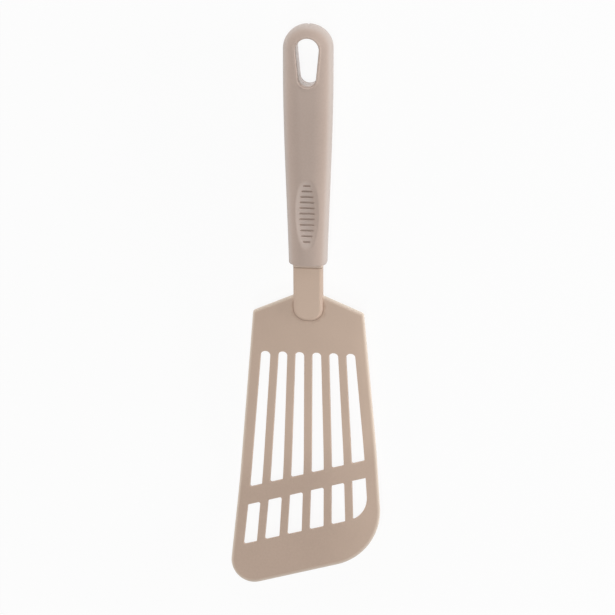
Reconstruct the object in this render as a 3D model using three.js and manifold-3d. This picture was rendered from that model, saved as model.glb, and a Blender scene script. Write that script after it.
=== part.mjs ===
// Slotted spatula lying on a table, thumb side up.
// Millimetres. X runs across the blade, Y along the handle towards the hanging eye, Z up.
// The origin is the middle of the handle's flat underside, which lies on the table.
import * as THREE from 'three';
import { mergeVertices, toCreasedNormals } from 'three/addons/utils/BufferGeometryUtils.js';
import Module from 'manifold-3d';

const wasm = await Module();
wasm.setup();

// Clearance between pieces that fit together, on each side.
const clearance = 0.3;

// Handle: a front and a back shell that meet at half thickness.
const handleLength = 130;
const handleWidth = 26.4;
const handleThickness = 15;
const mouthWidth = 20.4;
const mouthCorner = 2;
const mouthFlare = 1;
const mouthTangent = 36;
const wideTangent = 35;
const wideRun = 12.4;
const crownLength = 12.6;
const edgeRise = 6;
const edgeInset = 9.5;
const mouthFlat = 1.2;

// Hanging eye: a teardrop hole, wide at the end of the handle.
const eyeTopRadius = 6.2;
const eyeBottomRadius = 4.8;
const eyeSpacing = 14.8;
const eyeMargin = 6.8;
const eyeRim = 0.9;
const eyeWall = 2.4;

// Thumb rest: a shallow oval dish with cross grooves. Distances from the handle's mouth.
const dishCentre = 28.6;
const dishLength = 39;
const dishDepth = 1.85;
const dishRadius = 20;
const grooveCount = 11;
const grooveCentre = 29;
const groovePitch = 3.08;
const grooveWidth = 0.9;
const grooveDepth = 0.65;
const grooveSpan = 8.3;
const grooveEndRun = 2.2;

// Inside of the shells.
const shellWall = 2.6;
const coreDepth = 4.4;
const ribFirst = 12;
const ribPitch = 12;
const ribCount = 6;
const ribThickness = 1.6;

// Tang of the head, and the shell pegs that pass through it.
const tangLength = 58;
const tangWidth = 11;
const tangThickness = 4.4;
const tangCorner = 2;
const tangRoot = 4;
const pegDiameter = 4.4;
const pegPlaces = [18, 48];
const pegReach = 2;
const bossDiameter = 8;

// Collar ring between the handle's mouth and the neck.
const collarLength = 1.3;
const collarProud = 0.15;

// Neck and its raised round foot on the blade. Reach is measured from the handle's mouth.
const neckWidth = 16;
const neckThickness = 6.4;
const neckEdge = 2;
const footReach = 32.1;
const footCorner = 7;
const footFlare = 0.4;

// Blade outline, laid flat.
const bladeThickness = 2.4;
const bladeEdgeRise = 0.95;
const bladeEdgeInset = 1.8;
const shoulderReach = 14.5;
const shoulderAngle = THREE.MathUtils.degToRad(23.5);
const shoulderCorner = 2.2;
const rootHalfWidth = 27.75;
const sideAngle = THREE.MathUtils.degToRad(5);
const slantAngle = THREE.MathUtils.degToRad(16);
const frontReach = 170.4;
const leftCorner = 12.6;
const rightCorner = 32;

// Slots: ribs fan out from one point, and a slanted bar splits the slots in two rows.
const slotCount = 6;
const slotReach = 50.8;
const slotTopFlat = 0.28;
const slotCorner = 0.9;
const barReach = 117.2;
const barWidth = 9.45;
const lowerSlotLength = 21.25;
const lastSlotCorner = 13.5;
const bladeRib = 4.35;
const leftRail = 6.1;
const rightRail = 6.9;
const fanApexX = 2.9;
const fanApexReach = -259.5;
const fanStep = 0.0297;
const fanSkew = -0.0101;

// Front section: bent up along the slant, thinning towards the front edge.
const bendReach = 101.5;
const bendLength = 20;
const bendAngle = THREE.MathUtils.degToRad(12);
const frontThinning = 0.5;

// Divisions of curves, rounded edges and the bend.
const wideCurve = 10;
const smallCurve = 4;
const handleEdgeSteps = 6;
const fineEdgeSteps = 4;
const bladeEdgeSteps = 2;
const bendSteps = 5;
const dishRings = 12;
const dishSteps = 40;
const pinSides = 24;

// How far cutters run past what they cut.
const overrun = 10;
const hair = 0.01;

const halfThickness = handleThickness / 2;
const seam = clearance / 2;
const eyeTopPlace = handleLength - eyeMargin - eyeTopRadius;
const eyeBottomPlace = eyeTopPlace - eyeSpacing;
const endPegPlace = eyeBottomPlace - eyeBottomRadius - eyeWall - shellWall - bossDiameter / 2;

// Colours of the two plastics.
const nylon = { color: 0xbaa696, roughness: 0.5, metalness: 0 };
const shellPlastic = { color: 0xad9b91, roughness: 0.55, metalness: 0 };

function toSolid(geometry) {
  const bare = new THREE.BufferGeometry();
  bare.setAttribute('position', geometry.getAttribute('position'));
  if (geometry.index) bare.setIndex(geometry.index);
  const merged = mergeVertices(bare, 1e-4);
  const mesh = new wasm.Mesh({
    numProp: 3,
    vertProperties: new Float32Array(merged.getAttribute('position').array),
    triVerts: new Uint32Array(merged.index.array),
  });
  return new wasm.Manifold(mesh);
}

function toGeometry(body) {
  const mesh = body.getMesh();
  const geometry = new THREE.BufferGeometry();
  geometry.setAttribute('position', new THREE.BufferAttribute(mesh.vertProperties.slice(), 3));
  geometry.setIndex(new THREE.BufferAttribute(mesh.triVerts.slice(), 1));
  return geometry;
}

// Upright prism of an outline from low to high. The edge rounds or chamfers both ends:
// inset draws the ends in, or flares them out where it is negative.
function prism(outline, low, high, divisions, edge = { rise: 0, inset: 0, segments: 0 }) {
  const geometry = new THREE.ExtrudeGeometry(outline, {
    depth: high - low - 2 * edge.rise,
    curveSegments: divisions,
    bevelEnabled: edge.segments > 0,
    bevelThickness: edge.rise,
    bevelSize: edge.inset,
    bevelOffset: -edge.inset,
    bevelSegments: edge.segments,
  });
  geometry.translate(0, 0, low + edge.rise);
  return toSolid(geometry);
}

function block(width, length, height, x, y, z) {
  return toSolid(new THREE.BoxGeometry(width, length, height).translate(x, y, z));
}

function pin(diameter, y, low, high) {
  const geometry = new THREE.CylinderGeometry(diameter / 2, diameter / 2, high - low, pinSides);
  geometry.rotateX(Math.PI / 2);
  geometry.translate(0, y, (low + high) / 2);
  return toSolid(geometry);
}

// Closed outline through corners { at, radius }, each rounded by a tangent arc.
function roundedOutline(corners) {
  const shape = new THREE.Shape();
  corners.forEach(({ at, radius }, i) => {
    const before = corners[(i + corners.length - 1) % corners.length].at;
    const after = corners[(i + 1) % corners.length].at;
    const toBefore = before.clone().sub(at).normalize();
    const toAfter = after.clone().sub(at).normalize();
    const halfAngle = Math.acos(THREE.MathUtils.clamp(toBefore.dot(toAfter), -1, 1)) / 2;
    const run = radius / Math.tan(halfAngle);
    const start = at.clone().addScaledVector(toBefore, run);
    if (i === 0) shape.moveTo(start.x, start.y);
    else shape.lineTo(start.x, start.y);
    if (radius === 0) return;
    const inward = toBefore.clone().add(toAfter).normalize();
    const centre = at.clone().addScaledVector(inward, radius / Math.sin(halfAngle));
    const end = at.clone().addScaledVector(toAfter, run);
    const from = Math.atan2(start.y - centre.y, start.x - centre.x);
    const to = Math.atan2(end.y - centre.y, end.x - centre.x);
    shape.absarc(centre.x, centre.y, radius, from, to, toBefore.cross(toAfter) > 0);
  });
  shape.closePath();
  return shape;
}

function rectangle(left, right, bottom, top, radius) {
  const places = [[left, bottom], [right, bottom], [right, top], [left, top]];
  return roundedOutline(places.map(([x, y]) => ({ at: new THREE.Vector2(x, y), radius })));
}

// Plan of the handle, drawn in by inset, from start to the crown at its far end.
function handlePlan(inset, start) {
  const half = handleWidth / 2 - inset;
  const mouth = mouthWidth / 2 - inset;
  const crown = handleLength - crownLength;
  const wideFrom = crown - wideRun;
  const shape = new THREE.Shape();
  const root = Math.max(start, 0);
  shape.moveTo(-mouth, root);
  shape.lineTo(-mouth, start);
  shape.lineTo(mouth, start);
  shape.lineTo(mouth, root);
  shape.bezierCurveTo(
    mouth + mouthFlare, mouthTangent,
    half, wideFrom - wideTangent,
    half, wideFrom,
  );
  shape.lineTo(half, crown);
  shape.absellipse(0, crown, half, crownLength - inset, 0, Math.PI, false, 0);
  shape.lineTo(-half, wideFrom);
  shape.bezierCurveTo(
    -half, wideFrom - wideTangent,
    -mouth - mouthFlare, mouthTangent,
    -mouth, root,
  );
  return shape;
}

// Teardrop of the eye: two arcs joined by their common tangents.
function eyePlan(grow) {
  const tilt = Math.asin((eyeTopRadius - eyeBottomRadius) / eyeSpacing);
  const shape = new THREE.Shape();
  const left = Math.PI + tilt;
  const right = 2 * Math.PI - tilt;
  shape.absarc(0, eyeTopPlace, eyeTopRadius + grow, -tilt, left, false);
  shape.absarc(0, eyeBottomPlace, eyeBottomRadius + grow, left, right, false);
  shape.closePath();
  return shape;
}

// Full handle before it is split: round edges, square mouth with small round corners.
function handleBody() {
  const inset = Math.min(edgeInset, (mouthWidth - mouthFlat) / 2);
  const edge = { rise: edgeRise, inset, segments: handleEdgeSteps };
  const bar = prism(handlePlan(0, -inset - overrun), -halfThickness, halfThickness, wideCurve, edge);
  const half = mouthWidth / 2;
  const far = handleLength + overrun;
  const mouthFrame = roundedOutline([
    { at: new THREE.Vector2(-half, 0), radius: mouthCorner },
    { at: new THREE.Vector2(half, 0), radius: mouthCorner },
    { at: new THREE.Vector2(half + overrun, far), radius: 0 },
    { at: new THREE.Vector2(-half - overrun, far), radius: 0 },
  ]);
  const frame = prism(mouthFrame, -handleThickness, handleThickness, smallCurve);
  const rim = { rise: eyeRim, inset: -eyeRim, segments: fineEdgeSteps };
  const eye = prism(eyePlan(0), -halfThickness - hair, halfThickness + hair, wideCurve, rim);
  return bar.intersect(frame).subtract(eye);
}

// Space inside one shell: the core less its cross ribs, peg bosses and the wall round the eye.
function shellHollow() {
  const depth = coreDepth + 2 * hair;
  let core = prism(handlePlan(shellWall, shellWall), -coreDepth, coreDepth, wideCurve);
  for (let i = 0; i < ribCount; i += 1) {
    const place = ribFirst + i * ribPitch;
    core = core.subtract(block(handleWidth, ribThickness, 2 * depth, 0, place, 0));
  }
  [...pegPlaces, endPegPlace].forEach((place) => {
    core = core.subtract(pin(bossDiameter, place, -depth, depth));
  });
  return core.subtract(prism(eyePlan(eyeWall), -depth, depth, wideCurve));
}

// Channel that holds the tang between the shells.
function tangChannel() {
  const half = tangWidth / 2 + clearance;
  const plan = rectangle(-half, half, -overrun, tangLength + clearance, tangCorner);
  const depth = tangThickness / 2 + clearance;
  return prism(plan, -depth, depth, smallCurve);
}

// How deep the dish is on its middle line, at a distance from its centre.
function dishSink(distance) {
  const share = dishDepth / dishRadius;
  const reach = distance / (dishLength / 2);
  const rise = Math.sqrt(1 - (1 - (1 - share) ** 2) * reach * reach);
  return dishDepth - dishRadius * (1 - rise);
}

// Cutter for the thumb rest: a long round bowl, with a slot below it for each groove. The groove
// ends lie on an oval that runs a little past the first and the last groove.
function thumbRest() {
  const bowlAngle = 2 * Math.acos(1 - dishDepth / dishRadius);
  const profile = [];
  for (let i = 0; i <= dishRings; i += 1) {
    const angle = bowlAngle * i / dishRings;
    profile.push(new THREE.Vector2(dishRadius * Math.sin(angle), -dishRadius * Math.cos(angle)));
  }
  profile.push(new THREE.Vector2(0, -dishRadius * Math.cos(bowlAngle)));
  const bowl = new THREE.LatheGeometry(profile, dishSteps);
  const stretch = dishLength / 2 / (dishRadius * Math.sin(bowlAngle / 2));
  bowl.rotateX(Math.PI / 2);
  bowl.scale(1, stretch, 1);
  bowl.translate(0, dishCentre, halfThickness - dishDepth + dishRadius);
  let cutter = toSolid(bowl);
  const rowHalf = (grooveCount - 1) / 2 * groovePitch;
  for (let i = 0; i < grooveCount; i += 1) {
    const offset = i * groovePitch - rowHalf;
    const half = grooveSpan / 2 * Math.sqrt(1 - (offset / (rowHalf + grooveEndRun)) ** 2);
    const place = grooveCentre + offset;
    const round = grooveWidth / 2 - hair;
    const plan = rectangle(-half, half, place - grooveWidth / 2, place + grooveWidth / 2, round);
    const floor = halfThickness - dishSink(place - dishCentre) - grooveDepth;
    cutter = cutter.add(prism(plan, floor, halfThickness, smallCurve));
  }
  return cutter;
}

function halfSpace(side) {
  const size = 3 * handleLength;
  return block(size, size, size, 0, 0, side * (size / 2 + seam));
}

function handleFront() {
  const pegEnd = tangThickness / 2 + clearance + pegReach;
  let shell = handleBody().intersect(halfSpace(1));
  shell = shell.subtract(shellHollow()).subtract(tangChannel()).subtract(thumbRest());
  [...pegPlaces, endPegPlace].forEach((place) => {
    shell = shell.add(pin(pegDiameter, place, -pegEnd, coreDepth));
  });
  return shell;
}

function handleBack() {
  const socketEnd = tangThickness / 2 + pegReach + 2 * clearance;
  const socket = pegDiameter + 2 * clearance;
  let shell = handleBody().intersect(halfSpace(-1));
  shell = shell.subtract(shellHollow()).subtract(tangChannel());
  [...pegPlaces, endPegPlace].forEach((place) => {
    shell = shell.subtract(pin(socket, place, -socketEnd, overrun));
  });
  return shell;
}

// Ring that slides over the tang and closes the gap between the handle's mouth and the neck.
function collarRing() {
  const half = neckWidth / 2 + collarProud;
  const rise = neckThickness / 2 + collarProud;
  const ring = rectangle(-half, half, -rise, rise, neckEdge + collarProud);
  const holeHalf = tangWidth / 2 + clearance;
  const holeRise = tangThickness / 2 + clearance;
  ring.holes.push(rectangle(-holeHalf, holeHalf, -holeRise, holeRise, clearance));
  const geometry = new THREE.ExtrudeGeometry(ring, {
    depth: collarLength,
    curveSegments: smallCurve,
    bevelEnabled: false,
  });
  geometry.rotateX(Math.PI / 2);
  geometry.translate(0, -clearance, 0);
  return toSolid(geometry);
}

// Lines of the flat blade, as a * x + b * reach = c.
const slanted = (reach) => ({ a: Math.sin(slantAngle), b: Math.cos(slantAngle), c: reach });
const straight = (reach) => ({ a: 0, b: 1, c: reach });
const rightSide = (inset) => ({ a: 1, b: -Math.tan(sideAngle), c: rootHalfWidth - inset });
const leftSide = (inset) => ({ a: -1, b: -Math.tan(sideAngle), c: rootHalfWidth - inset });
const shoulder = (side) => ({ a: -side * Math.tan(shoulderAngle), b: 1, c: shoulderReach });

// One edge of a rib, counted from the left, on its left (-1) or right (1) side.
function ribEdge(index, side) {
  const lean = (index - (slotCount - 2) / 2) * fanStep + fanSkew;
  return { a: 1, b: -lean, c: fanApexX - lean * fanApexReach + side * bladeRib / 2 };
}

// Crossing of two lines, as a point of the plan, where reach runs along -Y.
function meet(first, second) {
  const det = first.a * second.b - second.a * first.b;
  const x = (first.c * second.b - second.c * first.b) / det;
  const reach = (first.a * second.c - second.a * first.c) / det;
  return new THREE.Vector2(x, -reach);
}

function bladePlan() {
  const front = slanted(frontReach);
  return roundedOutline([
    { at: new THREE.Vector2(0, -shoulderReach), radius: 0 },
    { at: meet(shoulder(-1), leftSide(0)), radius: shoulderCorner },
    { at: meet(leftSide(0), front), radius: leftCorner },
    { at: meet(front, rightSide(0)), radius: rightCorner },
    { at: meet(rightSide(0), shoulder(1)), radius: shoulderCorner },
  ]);
}

// Outline of one slot. A round top leaves only a short flat between its arcs.
function slotPlan(left, right, top, bottom, roundTop) {
  const topLeft = meet(left, top);
  const topRight = meet(right, top);
  const roundCorner = (topLeft.distanceTo(topRight) - slotTopFlat) / 2;
  const topCorner = roundTop ? roundCorner : slotCorner;
  return roundedOutline([
    { at: topLeft, radius: topCorner },
    { at: meet(left, bottom), radius: slotCorner },
    { at: meet(right, bottom), radius: slotCorner },
    { at: topRight, radius: topCorner },
  ]);
}

// Window of the lower row, whose large round corner cuts the last slot short.
function lowerWindow() {
  const top = slanted(0);
  const bottom = slanted(barReach + barWidth + lowerSlotLength);
  return roundedOutline([
    { at: meet(leftSide(0), top), radius: 0 },
    { at: meet(leftSide(0), bottom), radius: 0 },
    { at: meet(rightSide(rightRail), bottom), radius: lastSlotCorner },
    { at: meet(rightSide(rightRail), top), radius: 0 },
  ]);
}

// Upright cutter for an outline of the flat blade, moved to where the bend takes it.
function bentCutter(plan, divisions) {
  const points = plan.getPoints(divisions).map((point) => {
    const bent = bendPoint(new THREE.Vector3(point.x, point.y, 0));
    return new THREE.Vector2(bent.x, bent.y);
  });
  return prism(new THREE.Shape(points), -overrun, 4 * overrun, 1);
}

function bladeSlots() {
  const window = bentCutter(lowerWindow(), wideCurve);
  let cutter = null;
  for (let i = 0; i < slotCount; i += 1) {
    const left = i === 0 ? leftSide(leftRail) : ribEdge(i - 1, 1);
    const right = i === slotCount - 1 ? rightSide(rightRail) : ribEdge(i, -1);
    const lowerTop = slanted(barReach + barWidth);
    const lowerEnd = slanted(barReach + barWidth + lowerSlotLength);
    const upper = slotPlan(left, right, straight(slotReach), slanted(barReach), true);
    const lower = slotPlan(left, right, lowerTop, lowerEnd, false);
    const upperSlot = bentCutter(upper, smallCurve);
    const lowerSlot = bentCutter(lower, smallCurve).intersect(window);
    cutter = cutter ? cutter.add(upperSlot) : upperSlot;
    cutter = cutter.add(lowerSlot);
  }
  return cutter;
}

// Distance of a point of the flat blade along the slant's normal.
function slantReach(point) {
  return point.x * Math.sin(slantAngle) - point.y * Math.cos(slantAngle);
}

// Distance from a slanted station, where points that nearly touch it count as on it.
function pastStation(point, station) {
  const distance = slantReach(point) - station;
  return Math.abs(distance) < hair ? 0 : distance;
}

// Part of a triangle on one side of a slanted station, as a polygon.
function clipAtStation(corners, station, side) {
  const kept = [];
  corners.forEach((here, i) => {
    const next = corners[(i + 1) % corners.length];
    const from = pastStation(here, station);
    const to = pastStation(next, station);
    if (from * side >= 0) kept.push(here);
    if (from * to >= 0) return;
    const [low, high, down, up] = from < 0 ? [here, next, from, to] : [next, here, to, from];
    kept.push(low.clone().lerp(high, -down / (up - down)));
  });
  return kept;
}

function trianglesOf(geometry) {
  const flat = geometry.index ? geometry.toNonIndexed() : geometry;
  const place = flat.getAttribute('position');
  const triangles = [];
  for (let i = 0; i < place.count; i += 3) {
    triangles.push([0, 1, 2].map((k) => new THREE.Vector3().fromBufferAttribute(place, i + k)));
  }
  return triangles;
}

function splitAtStation(triangles, station) {
  return triangles.flatMap((corners) => [-1, 1].flatMap((side) => {
    const kept = clipAtStation(corners, station, side);
    const fan = [];
    for (let k = 1; k + 1 < kept.length; k += 1) fan.push([kept[0], kept[k], kept[k + 1]]);
    return fan;
  }));
}

// Place of a flat blade point once the front section is thinned and bent up.
function bendPoint(point) {
  const beyond = slantReach(point) - bendReach;
  if (beyond <= 0) return point.clone();
  const radius = bendLength / bendAngle;
  const turn = Math.min(beyond / radius, bendAngle);
  const rest = Math.max(beyond - bendLength, 0);
  const thin = 1 - frontThinning * beyond / (frontReach - bendReach);
  const height = point.z * thin;
  const along = (radius - height) * Math.sin(turn) + rest * Math.cos(turn);
  const up = radius - (radius - height) * Math.cos(turn) + rest * Math.sin(turn);
  const shift = along - beyond;
  return new THREE.Vector3(
    point.x + shift * Math.sin(slantAngle),
    point.y - shift * Math.cos(slantAngle),
    up,
  );
}

function bentBlade() {
  const half = bladeThickness / 2;
  const edge = { rise: bladeEdgeRise, inset: bladeEdgeInset, segments: bladeEdgeSteps };
  const flat = prism(bladePlan(), -half, half, wideCurve, edge);
  let triangles = trianglesOf(toGeometry(flat));
  for (let i = 0; i <= bendSteps; i += 1) {
    triangles = splitAtStation(triangles, bendReach + i * bendLength / bendSteps);
  }
  const points = triangles.flat().map(bendPoint);
  return toSolid(new THREE.BufferGeometry().setFromPoints(points)).subtract(bladeSlots());
}

// Neck with its round foot, and a chamfer where the foot meets the blade.
function neckAndFoot() {
  const half = neckWidth / 2;
  const plan = roundedOutline([
    { at: new THREE.Vector2(-half, overrun), radius: 0 },
    { at: new THREE.Vector2(-half, -footReach), radius: footCorner },
    { at: new THREE.Vector2(half, -footReach), radius: footCorner },
    { at: new THREE.Vector2(half, overrun), radius: 0 },
  ]);
  const round = { rise: neckEdge, inset: neckEdge, segments: fineEdgeSteps };
  const neck = prism(plan, -neckThickness / 2, neckThickness / 2, wideCurve, round);
  const skirtTop = bladeThickness / 2 + footFlare;
  const flare = new THREE.ExtrudeGeometry(plan, {
    depth: bladeThickness,
    curveSegments: wideCurve,
    bevelThickness: footFlare,
    bevelSize: footFlare,
    bevelSegments: 1,
  });
  flare.translate(0, 0, -bladeThickness / 2);
  const bladeArea = prism(bladePlan(), -skirtTop - hair, skirtTop + hair, wideCurve);
  return neck.add(toSolid(flare).intersect(bladeArea));
}

// Angle at which the straight head, turned about the handle's mouth, comes down to the table.
function crankAngle(geometry) {
  const place = geometry.getAttribute('position');
  let angle = Math.PI / 2;
  for (let i = 0; i < place.count; i += 1) {
    const reach = -place.getY(i);
    const height = place.getZ(i);
    const radius = Math.hypot(reach, height);
    if (reach <= footReach) continue;
    angle = Math.min(angle, Math.asin(halfThickness / radius) + Math.atan2(height, reach));
  }
  return angle;
}

function bladeHead() {
  const straightHead = toGeometry(bentBlade().add(neckAndFoot()));
  straightHead.rotateX(crankAngle(straightHead));
  const neckEnd = -collarLength - 2 * clearance;
  const behind = 2 * overrun;
  const spare = block(4 * neckWidth, behind, 4 * neckThickness, 0, neckEnd + behind / 2, 0);
  const plan = rectangle(-tangWidth / 2, tangWidth / 2, neckEnd - tangRoot, tangLength, tangCorner);
  let tang = prism(plan, -tangThickness / 2, tangThickness / 2, smallCurve);
  pegPlaces.forEach((place) => {
    tang = tang.subtract(pin(pegDiameter + 2 * clearance, place, -overrun, overrun));
  });
  return toSolid(straightHead).subtract(spare).add(tang);
}

function piece(name, body, finish) {
  const geometry = toCreasedNormals(toGeometry(body), THREE.MathUtils.degToRad(25));
  const mesh = new THREE.Mesh(geometry, new THREE.MeshStandardMaterial(finish));
  mesh.name = name;
  return mesh;
}

const handle = new THREE.Group();
handle.name = 'handle';
handle.add(piece('handle_front', handleFront(), shellPlastic));
handle.add(piece('handle_back', handleBack(), shellPlastic));

const head = new THREE.Group();
head.name = 'head';
head.add(piece('blade_head', bladeHead(), nylon));
head.add(piece('neck_collar', collarRing(), nylon));

const spatula = new THREE.Group();
spatula.name = 'slotted_spatula';
spatula.add(handle, head);
spatula.children.forEach((group) => group.position.set(0, -handleLength / 2, halfThickness));

export default spatula;
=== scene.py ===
import math
import bmesh
import bpy
from mathutils import Matrix, Vector
from mathutils.geometry import delaunay_2d_cdt
from mathutils.kdtree import KDTree


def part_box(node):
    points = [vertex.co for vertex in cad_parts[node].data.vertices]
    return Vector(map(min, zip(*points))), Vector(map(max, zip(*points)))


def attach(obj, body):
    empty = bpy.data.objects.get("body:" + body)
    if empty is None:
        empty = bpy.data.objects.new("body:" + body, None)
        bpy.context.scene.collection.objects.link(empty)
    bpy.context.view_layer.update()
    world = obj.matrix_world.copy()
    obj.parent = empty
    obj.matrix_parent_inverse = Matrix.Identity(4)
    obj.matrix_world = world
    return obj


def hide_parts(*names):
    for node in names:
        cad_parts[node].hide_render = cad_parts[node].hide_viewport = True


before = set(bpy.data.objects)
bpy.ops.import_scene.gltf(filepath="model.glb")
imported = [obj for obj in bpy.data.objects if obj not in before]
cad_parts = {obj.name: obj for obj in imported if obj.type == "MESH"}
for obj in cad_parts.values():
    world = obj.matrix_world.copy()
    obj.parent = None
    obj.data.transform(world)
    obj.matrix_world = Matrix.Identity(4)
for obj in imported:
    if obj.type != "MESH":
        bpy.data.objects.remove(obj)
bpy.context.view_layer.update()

mm = 0.001
frontBox = [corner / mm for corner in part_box("handle_front")]
backBox = [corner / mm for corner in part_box("handle_back")]
collarBox = [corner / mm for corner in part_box("neck_collar")]
mouthY = backBox[0].y  # the handle's mouth, where every length starts
handleLength = backBox[1].y - backBox[0].y
handleWidth = backBox[1].x - backBox[0].x
handleTop = frontBox[1].z
midHeight = handleTop / 2  # the seam between the shells and the neck's axis
print("frame loaded, handle", round(handleLength, 1), "mm long")


# small helpers

def smoothStep(low, high, value):
    t = min(max((value - low) / (high - low), 0), 1)
    return t * t * (3 - 2 * t)


def insideLoop(x, y, loop):
    inside = False
    for (ax, ay), (bx, by) in zip(loop, loop[1:] + loop[:1]):
        if (ay > y) != (by > y) and x < (bx - ax) * (y - ay) / (by - ay) + ax:
            inside = not inside
    return inside


def around(x, y, margin):
    return (x + margin, y), (x - margin, y), (x, y + margin), (x, y - margin)


def loopNormals(loop):
    # outward for a loop that runs anticlockwise, stretched at corners
    normals = []
    for i, here in enumerate(loop):
        before, after = Vector(loop[i - 1]), Vector(loop[(i + 1) % len(loop)])
        here = Vector(here)
        first, second = (here - before).normalized(), (after - here).normalized()
        normal = Vector((first.y + second.y, -first.x - second.x)).normalized()
        normals.append(normal / max(normal.dot(Vector((first.y, -first.x))), 0.5))
    return normals


def roundedLoop(corners, longest, arcStep):
    # corners are (x, y, radius); straight runs are cut into pieces no longer than longest
    loop = []
    count = len(corners)
    for i, (x, y, radius) in enumerate(corners):
        at = Vector((x, y))
        toBefore = (Vector(corners[i - 1][:2]) - at).normalized()
        toAfter = (Vector(corners[(i + 1) % count][:2]) - at).normalized()
        half = math.acos(max(-1, min(1, toBefore.dot(toAfter)))) / 2
        run = radius / math.tan(half)
        start, end = at + toBefore * run, at + toAfter * run
        if loop:
            addRun(loop, start, longest)
        else:
            loop.append(start)
        if radius:
            centre = at + (toBefore + toAfter).normalized() * radius / math.sin(half)
            sweep = math.pi - 2 * half
            steps = max(4, math.ceil(radius * sweep / arcStep))
            spin = 1 if toAfter.cross(toBefore) > 0 else -1
            for k in range(1, steps + 1):
                turn = Matrix.Rotation(spin * sweep * k / steps, 2)
                loop.append(centre + turn @ (start - centre))
        firstStart = loop[0]
    addRun(loop, firstStart, longest)
    loop.pop()
    return [(p.x, p.y) for p in loop]


def addRun(loop, end, longest):
    start = loop[-1]
    steps = max(1, math.ceil((end - start).length / longest))
    for k in range(1, steps + 1):
        loop.append(start.lerp(end, k / steps))


class Builder:
    # a mesh under construction, in millimetres from the handle's mouth
    def __init__(self):
        self.mesh = bmesh.new()
        self.wearAndPaintedLight = self.mesh.verts.layers.float.new("wearAndPaintedLight")
        self.paintedSheen = self.mesh.verts.layers.float.new("paintedSheen")

    def vert(self, x, y, z, wearAndPaintedLight=0.0):
        made = self.mesh.verts.new((x, y, z))
        made[self.wearAndPaintedLight] = wearAndPaintedLight
        return made

    def strip(self, first, second, closed=True, flip=False):
        count = len(first)
        for i in range(count if closed else count - 1):
            k = (i + 1) % count
            corners = [first[i], first[k], second[k], second[i]]
            if len(set(corners)) == 4:
                self.mesh.faces.new(corners[::-1] if flip else corners)

    def fill(self, loops, points=(), height=None, rings=(), lines=(), flip=False):
        # triangles between an outer loop and holes, through extra points, rings and open lines
        known = [vert for loop in loops for vert in loop]
        flat = [Vector(vert.co[:2]) for vert in known]
        edges = []
        base = 0
        for loop in loops:
            edges += [(base + i, base + (i + 1) % len(loop)) for i in range(len(loop))]
            base += len(loop)
        for ring in rings:
            flat += [Vector(p) for p in ring]
            edges += [(base + i, base + (i + 1) % len(ring)) for i in range(len(ring))]
            base += len(ring)
        for line in lines:
            flat += [Vector(p) for p in line]
            edges += [(base + i, base + i + 1) for i in range(len(line) - 1)]
            base += len(line)
        flat += [Vector(p) for p in points]
        coords, _, faces, origins, _, _ = delaunay_2d_cdt(flat, edges, [], 0, 1e-5)
        outlines = [[tuple(vert.co[:2]) for vert in loop] for loop in loops]
        verts = []
        for place, origin in zip(coords, origins):
            first = min(origin) if origin else len(flat)
            if first < len(known):
                verts.append(known[first])
            else:
                verts.append((place.x, place.y))
        made = {}
        for face in faces:
            cx = sum(coords[i].x for i in face) / 3
            cy = sum(coords[i].y for i in face) / 3
            if not insideLoop(cx, cy, outlines[0]):
                continue
            if any(insideLoop(cx, cy, hole) for hole in outlines[1:]):
                continue
            corners = []
            for i in face:
                if isinstance(verts[i], tuple):
                    if i not in made:
                        z, wearAndPaintedLight = height(*verts[i])
                        made[i] = self.vert(*verts[i], z, wearAndPaintedLight)
                    corners.append(made[i])
                else:
                    corners.append(verts[i])
            self.mesh.faces.new(corners[::-1] if flip else corners)

    def finish(self, name, move, material, node):
        for vert in self.mesh.verts:
            vert.co = move(vert.co) * mm
        bmesh.ops.remove_doubles(self.mesh, verts=self.mesh.verts, dist=2e-6)
        bmesh.ops.recalc_face_normals(self.mesh, faces=self.mesh.faces)
        data = bpy.data.meshes.new(name)
        self.mesh.to_mesh(data)
        self.mesh.free()
        for face in data.polygons:
            face.use_smooth = True
        data.materials.append(material)
        piece = bpy.data.objects.new(name, data)
        bpy.context.collection.objects.link(piece)
        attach(piece, "root")
        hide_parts(node)
        print(name, "has", len(data.polygons), "faces")
        return piece


# materials

def node(tree, kind, place, **inputs):
    made = tree.nodes.new(kind)
    made.location = place
    for name, value in inputs.items():
        made.inputs[name].default_value = value
    return made


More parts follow.
